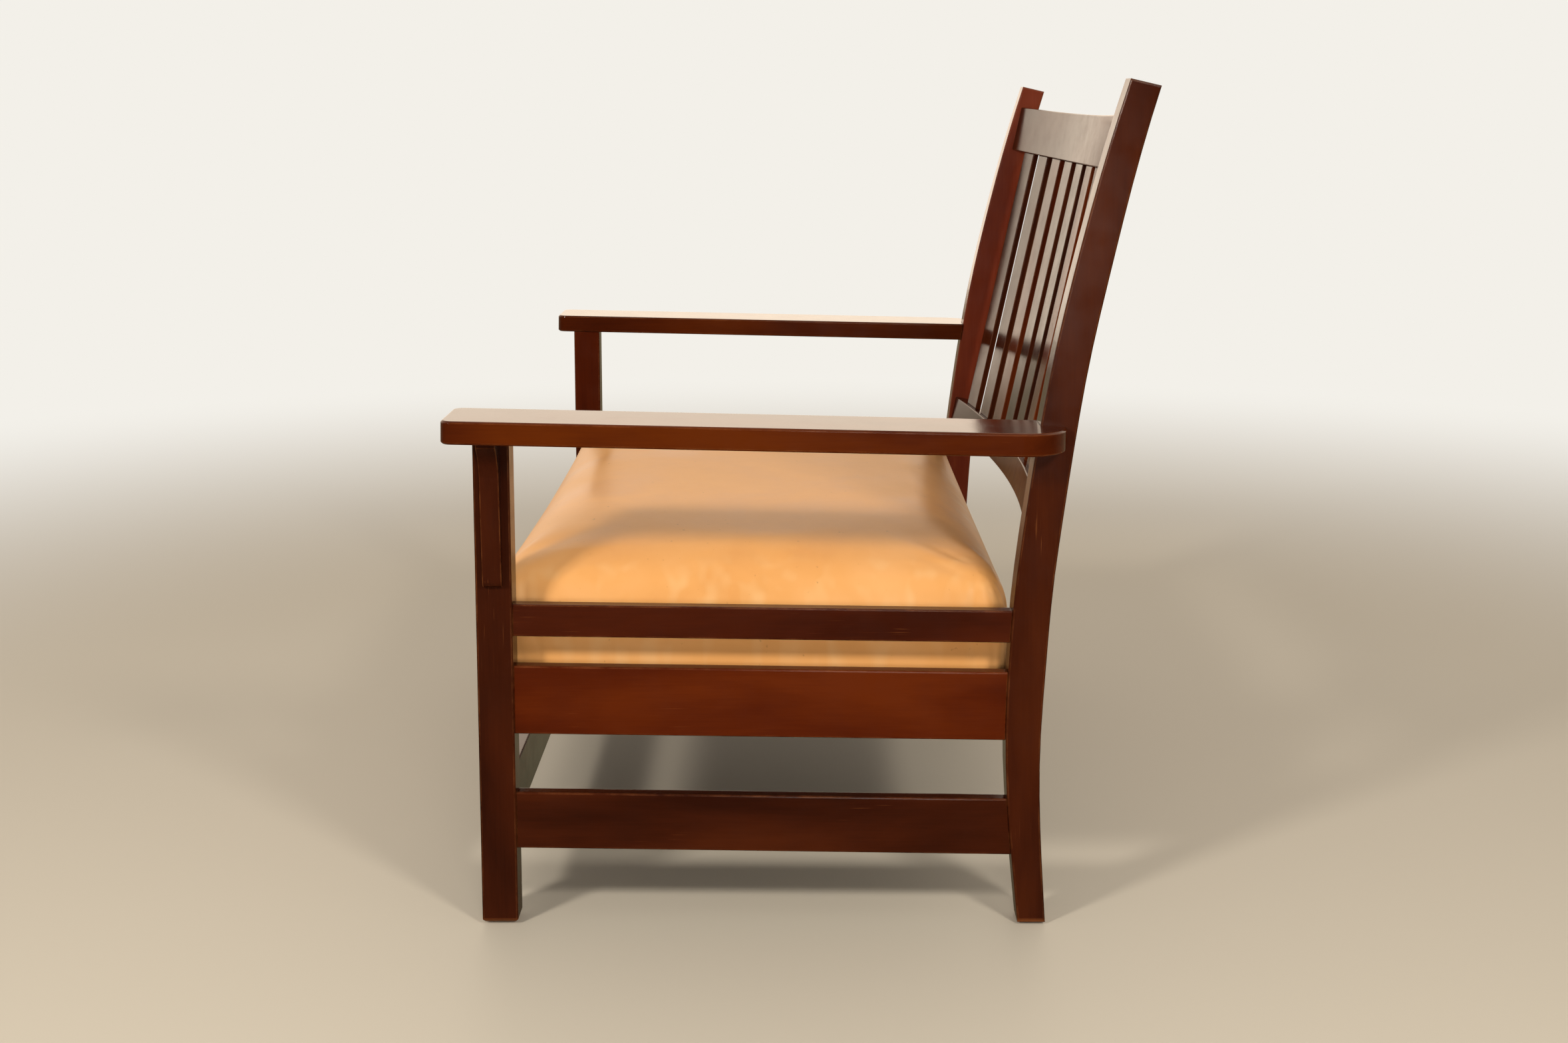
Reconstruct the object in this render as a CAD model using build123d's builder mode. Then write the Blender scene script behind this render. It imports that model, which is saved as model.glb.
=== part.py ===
from build123d import *
from math import asin, cos, degrees, pi, radians, sin, sqrt, tan
import os

# A two-seat mission settle in mahogany, with a drop-in leather spring seat.
# Millimetres. +X is the right end as seen from the front, -Y the front, +Z up.
# The origin is on the floor, in the middle of the settle's length and depth.

# Overall size
overall_length = 1219.0
overall_depth = 869.0
overall_height = 1026.0

# Fits
joint_gap = 0.2
glue_gap = 0.3
cut_run = 60.0

# Front legs
leg_thickness = 38.0
leg_depth = 43.7
leg_edge = 1.6
foot_chamfer = 3.5
leg_tenon_height = 14.0
leg_tenon_share = 0.55

# Arms
arm_width = 103.0
arm_thickness = 27.5
arm_front_height = 635.0
arm_fall = 1.34
arm_side_overhang = 61.5
arm_front_overhang = 27.4
arm_corner_radius = 14.0
arm_end_radius = 57.0
arm_end_past_post = 32.0
arm_edge = 2.0
arm_dowel_spacing = 20.0

# Corbels under the arms
corbel_thickness = 23.0
corbel_height = 183.0
corbel_top_reach = 39.0
corbel_foot_reach = 10.0
corbel_lip = 8.0
corbel_dowel_drop = 42.0
corbel_dowel_spacing = 95.0
corbel_dowel_share = 0.6
corbel_waist_share = 0.44
corbel_hollow_share = 0.58

# Back posts: shares of the height, of the rake and of the depth, foot to top
post_rake = 136.0
post_depth = 45.0
post_top_fall = 8.5
post_edge = 1.6
post_runs = 26
post_height_shares = (0.0, 0.06, 0.13, 0.22, 0.31, 0.40, 0.49, 0.58, 0.68, 0.78, 0.89, 1.0)
post_rake_shares = (0.125, 0.080, 0.032, 0.0, 0.018, 0.064, 0.146, 0.244, 0.377, 0.545, 0.755, 1.0)
post_depth_shares = (0.75, 0.80, 0.86, 0.94, 1.0, 1.01, 1.01, 1.0, 0.97, 0.95, 0.90, 0.80)

# Side rails, with their top edges measured at the front leg
rail_fall = 0.82
side_rail_thickness = 17.0
side_rail_set_in = 3.0
rail_edge = 1.2
upper_rail_top = 401.4
upper_rail_height = 39.4
seat_rail_top = 325.3
seat_rail_height = 84.5
lower_rail_top = 167.1
lower_rail_height = 70.3

# Long rails
front_rail_thickness = 22.0
front_rail_set_in = 6.0
front_stretcher_top = 161.0
front_stretcher_height = 72.0
back_seat_rail_thickness = 20.0
back_seat_rail_set_in = 9.0

# Tenons
tenon_length = 18.0
tenon_shoulder = 6.0
side_tenon_thickness = 8.0
long_tenon_thickness = 9.0

# Bowed back
back_tilt = 12.2
back_bow = 50.0
back_foot_height = 446.0
back_rail_thickness = 21.0
back_rail_set_in = 3.2
lower_back_rail_height = 46.6
crest_rail_height = 73.7
crest_foot_rise = 484.2
slat_count = 11
slat_width = 54.0
slat_end_gap = 49.5
slat_thickness = 9.0
slat_edge = 0.8
slat_tenon_length = 12.0
slat_tenon_shoulder = 1.5
slat_tenon_side_shoulder = 6.0

# Seat supports
seat_drop = 38.0
seat_bed_gap = 0.1
cleat_height = 20.0
long_cleat_width = 20.0
side_cleat_width = 34.0
cleat_end_gap = 1.0
screw_diameter = 4.5
screw_head_diameter = 9.0
screw_head_height = 2.8
screw_hold = 11.0
screw_end_distance = 60.0
long_cleat_screws = 4
side_cleat_screws = 3

# Drop-in seat
seat_end_gap = 4.0
seat_front_set_back = 1.3
seat_rear_gap = 2.0
seat_corner_radius = 22.0
seat_crown = 172.0
seat_front_bulge = 21.0
leather_thickness = 1.8
soft_gap = 0.4
seat_frame_height = 30.0
seat_frame_width = 45.0
seat_cross_width = 50.0
seat_frame_tenon_length = 20.0
seat_frame_tenon_thickness = 10.0
webbing_width = 50.0
webbing_thickness = 1.2
webbing_lengthwise = 5
webbing_crosswise = 9
dust_cover_thickness = 0.8
hessian_thickness = 1.0
spring_columns = 6
spring_rows = 3
spring_radius = 36.0
spring_waist_share = 0.3
spring_turns = 2.25
spring_turn_steps = 8
spring_wire = 4.5
spring_height = 92.0

# Crown sections: share of the crown height, pull-in from the sides, share of the front bulge
crown_height_shares = (0.0, 0.24, 0.46, 0.66, 0.80, 0.89, 0.96, 1.0)
crown_pull_in_shares = (0.0, 0.0, 0.0, 0.006, 0.03, 0.088, 0.275, 0.78)
crown_bulge_shares = (0.0, 0.05, 0.70, 1.0, 1.0, 1.0, 1.0, 1.0)
crown_reach = 240.0
corner_spread_share = 0.42
corner_chords = 4

# Dowels and glides
dowel_diameter = 9.0
dowel_length = 44.0
corbel_dowel_length = 26.0
glide_diameter = 20.0
glide_height = 3.0
glide_edge = 0.8
glide_nail_diameter = 3.5
glide_nail_length = 15.0
glide_sides = 20
fastener_sides = 8

# Places worked out from the sizes above
leg_outer_x = overall_length / 2 - arm_side_overhang
leg_inner_x = leg_outer_x - leg_thickness
leg_mid_x = (leg_outer_x + leg_inner_x) / 2
seat_half_width = leg_inner_x - seat_end_gap
slat_pitch = 2 * (leg_inner_x - slat_end_gap - slat_width / 2) / (slat_count - 1)
arm_front_y = -overall_depth / 2 + arm_thickness * sin(radians(arm_fall))
leg_front_y = arm_front_y + arm_front_overhang
leg_rear_y = leg_front_y + leg_depth
leg_mid_y = (leg_front_y + leg_rear_y) / 2
side_rail_x = leg_outer_x - side_rail_set_in - side_rail_thickness
side_tenon_x = side_rail_x + (side_rail_thickness - side_tenon_thickness) / 2
front_rail_y = leg_front_y + front_rail_set_in
side_rails = (
    ("upper_side_rail", upper_rail_top, upper_rail_height),
    ("seat_side_rail", seat_rail_top, seat_rail_height),
    ("lower_side_rail", lower_rail_top, lower_rail_height),
)
seat_front_y = front_rail_y + front_rail_thickness + seat_front_set_back
bow_radius = (leg_inner_x**2 + back_bow**2) / (2 * back_bow)
bow_mid_radius = bow_radius + back_rail_thickness / 2


def rail_line(top, y):
    """Height at depth y of a line that falls to the back with the side rails."""
    return top - tan(radians(rail_fall)) * (y - leg_rear_y)


def arm_under(y):
    """Height of the arm's underside at depth y."""
    fall = radians(arm_fall)
    return arm_front_height - arm_thickness / cos(fall) - tan(fall) * (y - arm_front_y)


def post_rise(index):
    """Height of one numbered point on the post's front edge."""
    return glide_height + post_height_shares[index] * (overall_height - glide_height)


def post_rake_at(z):
    """How far the post's front edge at height z lies behind its most forward line."""
    for index in range(len(post_height_shares) - 1):
        low, high = post_rise(index), post_rise(index + 1)
        if z <= high or index == len(post_height_shares) - 2:
            share = (z - low) / (high - low)
            shares = post_rake_shares[index:index + 2]
            return post_rake * (shares[0] + share * (shares[1] - shares[0]))


def post_front_at(z):
    """Depth of the post's front edge at height z."""
    return post_forward_y + post_rake_at(z)


crest_reach_up = (crest_foot_rise + crest_rail_height) * sin(radians(back_tilt))
crest_reach_back = (back_bow + back_rail_thickness) * cos(radians(back_tilt))
post_forward_y = (overall_depth / 2 - crest_reach_up - crest_reach_back - back_rail_set_in
                  - post_rake_at(back_foot_height))
back_seat_rail_y = post_forward_y + back_seat_rail_set_in
back_seat_rail_top = rail_line(seat_rail_top, back_seat_rail_y)
seat_rear_y = back_seat_rail_y - seat_rear_gap


def tilted_plane(y, z, fall):
    """A plane through (0, y, z) that faces up and falls towards the back by an angle."""
    lean = radians(fall)
    return Plane(origin=(0, y, z), x_dir=(1, 0, 0), z_dir=(0, sin(lean), cos(lean)))


arm_plane = tilted_plane(arm_front_y, arm_front_height, arm_fall)
arm_under_plane = arm_plane.offset(-arm_thickness)
seat_mid_y = (seat_front_y + seat_rear_y) / 2
seat_depth = seat_rear_y - seat_front_y
seat_bed_z = rail_line(seat_rail_top, seat_mid_y) - seat_drop + seat_bed_gap
seat_plane = tilted_plane(seat_mid_y, seat_bed_z, rail_fall)
back_plane = tilted_plane(post_front_at(back_foot_height) + back_rail_set_in, back_foot_height, back_tilt)


def save(piece, name):
    piece.label = name
    export_step(piece, f"parts/{name}.step")


def save_pair(piece, name):
    """The right-hand piece and its mirror image at the left end."""
    save(piece, f"{name}_right")
    save(piece.mirror(Plane.YZ), f"{name}_left")


def short_runs(points):
    """Evenly spaced points on the smooth curve through some points, as a bandsaw follows it."""
    curve = Spline(*points)
    stops = [curve @ (run / post_runs) for run in range(post_runs + 1)]
    return [(stop.X, stop.Y) for stop in stops]


def post_outline(front_grow=0.0, rear_grow=0.0):
    """The raked, curved side profile of a back post, or one grown to scribe its neighbours."""
    front = []
    rear = []
    for index, depth_share in enumerate(post_depth_shares):
        z = post_rise(index)
        y = post_forward_y + post_rake * post_rake_shares[index]
        front.append((y - front_grow, z))
        rear.append((y + post_depth * depth_share + rear_grow, z))
    rear[-1] = (rear[-1][0], rear[-1][1] - post_top_fall)
    with BuildSketch() as outline:
        Polygon(*short_runs(front), *reversed(short_runs(rear)), align=None)
    return outline.sketch


def side_tenon(top, height, grow=0.0):
    """The long tongue inside a side rail that ends in its two tenons."""
    y_front = leg_rear_y - tenon_length - grow
    y_rear = post_front_at(rail_line(top, post_forward_y)) + tenon_length + grow
    low = height - tenon_shoulder + grow
    high = tenon_shoulder - grow
    corners = (
        (y_front, rail_line(top, y_front) - high),
        (y_rear, rail_line(top, y_rear) - high),
        (y_rear, rail_line(top, y_rear) - low),
        (y_front, rail_line(top, y_front) - low),
    )
    with BuildPart() as tongue:
        with BuildSketch(Plane.YZ.offset(side_tenon_x - grow)):
            Polygon(*corners, align=None)
        extrude(amount=side_tenon_thickness + 2 * grow)
    return tongue.part


def long_tenon(y, thickness, top, height, grow=0.0):
    """The tongue inside a long rail between two legs or two posts."""
    half = leg_inner_x + tenon_length + grow
    with BuildPart() as tongue:
        with BuildSketch(Plane.YZ.offset(-half)):
            with Locations((y + thickness / 2, top - height / 2)):
                Rectangle(long_tenon_thickness + 2 * grow, height - 2 * tenon_shoulder + 2 * grow)
        extrude(amount=2 * half)
    return tongue.part


def bow_y(x, offset):
    """Depth in the back's plane of the bow's front face, or of a face offset behind it."""
    return back_bow - bow_radius + sqrt((bow_radius + offset) ** 2 - x**2)


def bowed_tenon(rise, height, grow=0.0):
    """The two end tenons of a bowed rail, as one pair."""
    y_mid = bow_y(leg_inner_x, back_rail_thickness / 2)
    with BuildPart() as tongues:
        with BuildSketch(back_plane.offset(rise + tenon_shoulder - grow)):
            with Locations((leg_inner_x, y_mid), (-leg_inner_x, y_mid)):
                Rectangle(2 * (tenon_length + grow), long_tenon_thickness + 2 * grow)
        extrude(amount=height - 2 * tenon_shoulder + 2 * grow)
    return tongues.part


def slat_places():
    """Each slat's place on the bow and its turn to face the bow's centre."""
    for index in range(slat_count):
        x = (index - (slat_count - 1) / 2) * slat_pitch
        yield x, bow_y(x, back_rail_thickness / 2), -degrees(asin(x / bow_mid_radius))


def slat_tongues(grow=0.0):
    """The tenoned cores of all slats, to cut the housings in the two bowed rails."""
    start = lower_back_rail_height - slat_tenon_length - grow
    length = crest_foot_rise - lower_back_rail_height + 2 * slat_tenon_length + 2 * grow
    with BuildPart() as tongues:
        with BuildSketch(back_plane.offset(start)):
            for x, y, turn in slat_places():
                with Locations((x, y)):
                    Rectangle(
                        slat_width - 2 * slat_tenon_side_shoulder + 2 * grow,
                        slat_thickness - 2 * slat_tenon_shoulder + 2 * grow,
                        rotation=turn,
                    )
        extrude(amount=length)
    return tongues.part


def arm_dowel_places():
    """Centres of the dowels that hold an arm's end to its post."""
    for side in (-1, 1):
        yield leg_mid_x + side * arm_dowel_spacing / 2


def arm_dowels(diameter, length):
    """Two dowels through the face where the arm meets the post's front."""
    z_mid = arm_under(post_front_at(arm_front_height)) + arm_thickness / 2
    y_mid = post_front_at(z_mid)
    with BuildPart() as dowels:
        with BuildSketch(Plane.XZ.offset(-y_mid - length / 2)):
            for x in arm_dowel_places():
                with Locations((x, z_mid)):
                    RegularPolygon(diameter / 2, fastener_sides)
        extrude(amount=length)
    return dowels.part


def corbel_dowels(diameter, length):
    """Two dowels across the joint between a corbel and its leg, nearer the leg's core."""
    z_top = arm_under(leg_mid_y) - corbel_dowel_drop
    into_leg = length - corbel_foot_reach * corbel_dowel_share
    with BuildPart() as dowels:
        with BuildSketch(Plane.YZ.offset(leg_outer_x - into_leg)):
            with Locations((leg_mid_y, z_top), (leg_mid_y, z_top - corbel_dowel_spacing)):
                RegularPolygon(diameter / 2, fastener_sides)
        extrude(amount=length)
    return dowels.part


def foot_places():
    """The middle of each foot: the front legs, then the back posts."""
    post_mid_y = post_front_at(glide_height) + post_depth * post_depth_shares[0] / 2
    for y in (leg_mid_y, post_mid_y):
        for side in (1, -1):
            yield side * leg_mid_x, y


def nail_cut(grow):
    """The glide nails' shanks, grown to cut their holes."""
    with BuildPart() as shanks:
        with BuildSketch(Plane.XY):
            for place in foot_places():
                with Locations(place):
                    RegularPolygon(glide_nail_diameter / 2 + grow, fastener_sides)
        extrude(amount=glide_height + glide_nail_length + grow)
    return shanks.part


def build_front_leg():
    with BuildPart() as leg:
        with BuildSketch(Plane.YZ.offset(leg_inner_x)):
            Polygon(
                (leg_front_y, glide_height),
                (leg_rear_y, glide_height),
                (leg_rear_y, arm_under(leg_rear_y)),
                (leg_front_y, arm_under(leg_front_y)),
                align=None,
            )
        extrude(amount=leg_thickness)
        chamfer(leg.faces().sort_by(Axis.Z)[0].edges(), length=foot_chamfer)
        chamfer(leg.edges().filter_by(Axis.Z), length=leg_edge)
        with BuildSketch(arm_under_plane):
            with Locations((leg_mid_x, (leg_mid_y - arm_front_y) / cos(radians(arm_fall)))):
                Rectangle(leg_thickness * leg_tenon_share, leg_depth * leg_tenon_share)
        extrude(amount=leg_tenon_height)
        for _, top, height in side_rails:
            add(side_tenon(top, height, glue_gap), mode=Mode.SUBTRACT)
        add(long_tenon(front_rail_y, front_rail_thickness, seat_rail_top, seat_rail_height, glue_gap),
            mode=Mode.SUBTRACT)
        add(long_tenon(front_rail_y, front_rail_thickness, front_stretcher_top, front_stretcher_height,
                       glue_gap), mode=Mode.SUBTRACT)
        add(corbel_dowels(dowel_diameter + glue_gap, corbel_dowel_length + glue_gap), mode=Mode.SUBTRACT)
        add(nail_cut(glue_gap), mode=Mode.SUBTRACT)
    return leg.part


def build_back_post():
    with BuildPart() as post:
        with BuildSketch(Plane.YZ.offset(leg_inner_x)):
            add(post_outline())
        extrude(amount=leg_thickness)
        ends = post.faces().filter_by(Axis.X)
        chamfer(ends.edges(), length=post_edge)
        for _, top, height in side_rails:
            add(side_tenon(top, height, glue_gap), mode=Mode.SUBTRACT)
        add(long_tenon(back_seat_rail_y, back_seat_rail_thickness, back_seat_rail_top, seat_rail_height,
                       glue_gap), mode=Mode.SUBTRACT)
        add(bowed_tenon(0.0, lower_back_rail_height, glue_gap), mode=Mode.SUBTRACT)
        add(bowed_tenon(crest_foot_rise, crest_rail_height, glue_gap), mode=Mode.SUBTRACT)
        add(arm_dowels(dowel_diameter + glue_gap, dowel_length + glue_gap), mode=Mode.SUBTRACT)
        add(nail_cut(glue_gap), mode=Mode.SUBTRACT)
    return post.part


def build_arm():
    """A broad flat arm, notched round the post, with one corner swept round behind."""
    outer = overall_length / 2
    inner = outer - arm_width
    rear = (post_front_at(arm_under(leg_rear_y)) + arm_end_past_post - arm_front_y) / cos(radians(arm_fall))
    corner = arm_corner_radius
    with BuildPart() as arm:
        with BuildSketch(arm_under_plane) as plan:
            with BuildLine():
                Line((inner, rear), (inner, corner))
                RadiusArc((inner, corner), (inner + corner, 0), -corner)
                Line((inner + corner, 0), (outer - corner, 0))
                RadiusArc((outer - corner, 0), (outer, corner), -corner)
                Line((outer, corner), (outer, rear - arm_end_radius))
                RadiusArc((outer, rear - arm_end_radius), (outer - arm_end_radius, rear), -arm_end_radius)
                Line((outer - arm_end_radius, rear), (inner, rear))
            make_face()
        extrude(amount=arm_thickness)
        faces = arm.faces().sort_by(Axis.Z)
        chamfer(faces[-1].edges() + faces[0].edges(), length=arm_edge)
        with BuildSketch(Plane.YZ.offset(inner - cut_run)):
            add(post_outline(joint_gap))
        extrude(amount=leg_outer_x - inner + cut_run, mode=Mode.SUBTRACT)
        with BuildSketch(arm_under_plane):
            with Locations((leg_mid_x, (leg_mid_y - arm_front_y) / cos(radians(arm_fall)))):
                Rectangle(leg_thickness * leg_tenon_share + 2 * glue_gap,
                          leg_depth * leg_tenon_share + 2 * glue_gap)
        extrude(amount=leg_tenon_height + glue_gap, mode=Mode.SUBTRACT)
        add(arm_dowels(dowel_diameter + glue_gap, dowel_length + glue_gap), mode=Mode.SUBTRACT)
    return arm.part


def build_corbel():
    """A slim bracket with a hollow curve under a short lip."""
    top = arm_under(leg_front_y)
    foot = top - corbel_height
    curve_end = top - corbel_lip - corbel_top_reach
    with BuildPart() as corbel:
        with BuildSketch(Plane.XZ.offset(-leg_mid_y - corbel_thickness / 2)):
            with BuildLine():
                Line((leg_outer_x, foot), (leg_outer_x, top))
                Line((leg_outer_x, top), (leg_outer_x + corbel_top_reach, top))
                lip = Line((leg_outer_x + corbel_top_reach, top),
                           (leg_outer_x + corbel_top_reach, top - corbel_lip))
                taper = Line((leg_outer_x + corbel_foot_reach, foot + corbel_foot_reach),
                             (leg_outer_x + corbel_top_reach * corbel_waist_share, curve_end))
                ThreePointArc(
                    lip @ 1,
                    (leg_outer_x + corbel_top_reach * corbel_hollow_share,
                     top - corbel_lip - corbel_top_reach * corbel_hollow_share),
                    taper @ 1,
                )
                RadiusArc(taper @ 0, (leg_outer_x, foot), corbel_foot_reach)
            make_face()
        extrude(amount=corbel_thickness)
        split(bisect_by=arm_under_plane, keep=Keep.BOTTOM)
        add(corbel_dowels(dowel_diameter + glue_gap, corbel_dowel_length + glue_gap), mode=Mode.SUBTRACT)
    return corbel.part


def build_side_rail(top, height):
    """A rail from leg to post, its rear shoulder scribed to the post's curve."""
    y_rear = post_front_at(top) + cut_run
    with BuildPart() as rail:
        with BuildSketch(Plane.YZ.offset(side_rail_x)):
            Polygon(
                (leg_rear_y, rail_line(top, leg_rear_y)),
                (y_rear, rail_line(top, y_rear)),
                (y_rear, rail_line(top, y_rear) - height),
                (leg_rear_y, rail_line(top, leg_rear_y) - height),
                align=None,
            )
        extrude(amount=side_rail_thickness)
        chamfer(rail.edges().filter_by(lambda edge: edge.length > 2 * height), length=rail_edge)
        with BuildSketch(Plane.YZ.offset(side_rail_x - cut_run)):
            add(post_outline(joint_gap, cut_run))
        extrude(amount=side_rail_thickness + 2 * cut_run, mode=Mode.SUBTRACT)
        add(side_tenon(top, height))
    return rail.part


def build_long_rail(y, thickness, top, height):
    with BuildPart() as rail:
        with BuildSketch(Plane.YZ.offset(-leg_inner_x)):
            with Locations((y + thickness / 2, top - height / 2)):
                Rectangle(thickness, height)
        extrude(amount=2 * leg_inner_x)
        chamfer(rail.edges().filter_by(Axis.X), length=rail_edge)
        add(long_tenon(y, thickness, top, height))
    return rail.part


def build_bowed_rail(rise, height):
    """A rail cut to the bow between the posts, with housings for the slats."""
    half = leg_inner_x
    with BuildPart() as rail:
        with BuildSketch(back_plane.offset(rise)):
            with BuildLine():
                ThreePointArc((-half, bow_y(half, 0)), (0, bow_y(0, 0)), (half, bow_y(half, 0)))
                Line((half, bow_y(half, 0)), (half, bow_y(half, back_rail_thickness)))
                ThreePointArc(
                    (half, bow_y(half, back_rail_thickness)),
                    (0, bow_y(0, back_rail_thickness)),
                    (-half, bow_y(half, back_rail_thickness)),
                )
                Line((-half, bow_y(half, back_rail_thickness)), (-half, bow_y(half, 0)))
            make_face()
        extrude(amount=height)
        chamfer(rail.edges().filter_by(GeomType.CIRCLE), length=rail_edge)
        add(bowed_tenon(rise, height))
        add(slat_tongues(glue_gap), mode=Mode.SUBTRACT)
    return rail.part


def build_slat(x, y, turn):
    """A flat slat, tenoned into both bowed rails."""
    length = crest_foot_rise - lower_back_rail_height
    with BuildPart() as slat:
        with BuildSketch(back_plane.offset(lower_back_rail_height)):
            with Locations((x, y)):
                Rectangle(slat_width, slat_thickness, rotation=turn)
        extrude(amount=length)
        upright = slat.edges().filter_by(lambda edge: edge.length > length - slat_width)
        chamfer(upright, length=slat_edge)
        with BuildSketch(back_plane.offset(lower_back_rail_height - slat_tenon_length)):
            with Locations((x, y)):
                Rectangle(
                    slat_width - 2 * slat_tenon_side_shoulder,
                    slat_thickness - 2 * slat_tenon_shoulder,
                    rotation=turn,
                )
        extrude(amount=length + 2 * slat_tenon_length)
    return slat.part


def cleat_box(y, width, half_length):
    """A long cleat with its top on the seat's slope, along a front or back rail."""
    top = seat_rail_top - seat_drop
    low = rail_line(top, y + width / 2) - cleat_height
    with BuildPart() as cleat:
        with BuildSketch(Plane.YZ.offset(-half_length)):
            Polygon(
                (y, low),
                (y + width, low),
                (y + width, rail_line(top, y + width)),
                (y, rail_line(top, y)),
                align=None,
            )
        extrude(amount=2 * half_length)
    return cleat.part


def spread(count, half_length):
    """Evenly spaced places, the outer ones a set distance from the ends."""
    reach = half_length - screw_end_distance
    for index in range(count):
        yield -reach + 2 * reach * index / (count - 1)


def long_screws(y_head, direction, grow=0.0):
    """Screws through a long cleat into its rail; direction is -1 to the front, 1 to the back."""
    half = side_rail_x - side_cleat_width
    z = rail_line(seat_rail_top - seat_drop, y_head) - cleat_height / 2
    length = long_cleat_width + screw_hold
    plane = Plane(origin=(0, y_head, z), x_dir=(1, 0, 0), z_dir=(0, direction, 0))
    return screws_on(plane, [(x, 0) for x in spread(long_cleat_screws, half)], length, grow)


def side_screws(grow=0.0):
    """Screws through the right side cleat into its rail."""
    x_head = side_rail_x - side_cleat_width
    y_mid = (leg_rear_y + post_forward_y) / 2
    half = (post_forward_y - leg_rear_y) / 2
    top = seat_rail_top - seat_drop
    plane = Plane(origin=(x_head, 0, 0), x_dir=(0, 1, 0), z_dir=(1, 0, 0))
    places = []
    for along in spread(side_cleat_screws, half):
        y = y_mid + along
        places.append((y, rail_line(top, y) - cleat_height / 2))
    return screws_on(plane, places, side_cleat_width + screw_hold, grow)


def screws_on(plane, places, length, grow):
    """Countersunk screws standing into a plane, heads flush with it."""
    head = screw_head_diameter / 2 + grow
    shank = screw_diameter / 2 + grow
    with BuildPart() as screws:
        for place in places:
            with BuildSketch(plane):
                with Locations(place):
                    RegularPolygon(head, fastener_sides)
            with BuildSketch(plane.offset(screw_head_height)):
                with Locations(place):
                    RegularPolygon(shank, fastener_sides)
            loft(ruled=True)
        with BuildSketch(plane):
            for place in places:
                with Locations(place):
                    RegularPolygon(shank, fastener_sides)
        extrude(amount=length + grow)
    return screws.part


def build_side_cleat():
    top = seat_rail_top - seat_drop
    y_rear = post_front_at(rail_line(top, post_forward_y) - cleat_height) - cleat_end_gap
    with BuildPart() as cleat:
        with BuildSketch(Plane.YZ.offset(side_rail_x - side_cleat_width)):
            Polygon(
                (leg_rear_y + cleat_end_gap, rail_line(top, leg_rear_y)),
                (y_rear, rail_line(top, y_rear)),
                (y_rear, rail_line(top, y_rear) - cleat_height),
                (leg_rear_y + cleat_end_gap, rail_line(top, leg_rear_y) - cleat_height),
                align=None,
            )
        extrude(amount=side_cleat_width)
        add(side_screws(glue_gap), mode=Mode.SUBTRACT)
    return cleat.part


def soft_rectangle(width, depth, corner):
    """Points of a rectangle whose corners are rounded by a few chords."""
    points = []
    for quarter, (side_x, side_y) in enumerate(((1, 1), (-1, 1), (-1, -1), (1, -1))):
        for chord in range(corner_chords + 1):
            angle = pi / 2 * (quarter + chord / corner_chords)
            x = side_x * (width / 2 - corner) + corner * cos(angle)
            y = side_y * (depth / 2 - corner) + corner * sin(angle)
            points.append((x, y))
    return points


def crowned_form(inset):
    """The seat's boxed sides and crowned top in flat facets, drawn in all round by inset."""
    half_depth = seat_depth / 2
    rings = []
    for height_share, pull_share, bulge_share in zip(
        crown_height_shares, crown_pull_in_shares, crown_bulge_shares
    ):
        rise = soft_gap + (seat_crown - inset - soft_gap) * height_share
        pull = inset + crown_reach * pull_share
        bulge = seat_front_bulge * bulge_share
        width = 2 * (seat_half_width - pull)
        depth = 2 * (half_depth - pull) + bulge
        corner = seat_corner_radius - inset + pull * corner_spread_share
        points = soft_rectangle(width, depth, corner)
        rings.append([seat_plane.from_local_coords((x, y - bulge / 2, rise)) for x, y in points])
    outlines = [rings[0], rings[-1]]
    for low, high in zip(rings, rings[1:]):
        for index in range(len(low)):
            outlines.append((low[index - 1], low[index], high[index], high[index - 1]))
    facets = [Face(Wire.make_polygon(outline, close=True)) for outline in outlines]
    with BuildPart() as form:
        add(Solid(Shell(facets)))
    return form.part


def seat_box(half_x, y_front, y_rear, low, high):
    """A block in the seat's own sloping frame; depths are measured from the seat's middle."""
    with BuildPart() as block:
        with BuildSketch(seat_plane.offset(low)):
            with Locations((0, (y_front + y_rear) / 2)):
                Rectangle(2 * half_x, y_rear - y_front)
        extrude(amount=high - low)
    return block.part


frame_inset = leather_thickness + soft_gap
frame_half_x = seat_half_width - frame_inset
frame_half_y = seat_depth / 2 - frame_inset
well_half_x = frame_half_x - seat_frame_width
well_half_y = frame_half_y - seat_frame_width


def frame_tenons(grow=0.0):
    """Tongues through the seat frame's side bars and its middle bar into front and back."""
    reach = well_half_y + seat_frame_tenon_length + grow
    with BuildPart() as tongues:
        with BuildSketch(seat_plane.offset((seat_frame_height - seat_frame_tenon_thickness) / 2 - grow)):
            for x in (-frame_half_x + seat_frame_width / 2, 0, frame_half_x - seat_frame_width / 2):
                with Locations((x, 0)):
                    Rectangle(seat_frame_width * leg_tenon_share + 2 * grow, 2 * reach)
        extrude(amount=seat_frame_tenon_thickness + 2 * grow)
    return tongues.part


def build_frame_bar(side):
    """The long front (-1) or back (1) bar of the drop-in seat's frame."""
    near, far = sorted((side * well_half_y, side * frame_half_y))
    with BuildPart() as bar:
        add(seat_box(frame_half_x, near, far, 0, seat_frame_height))
        upright = bar.edges().filter_by(Axis(seat_plane.origin, seat_plane.z_dir))
        fillet(upright.sort_by(Axis.Y, reverse=side > 0)[:2], radius=seat_corner_radius)
        add(frame_tenons(glue_gap), mode=Mode.SUBTRACT)
    return bar.part


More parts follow.
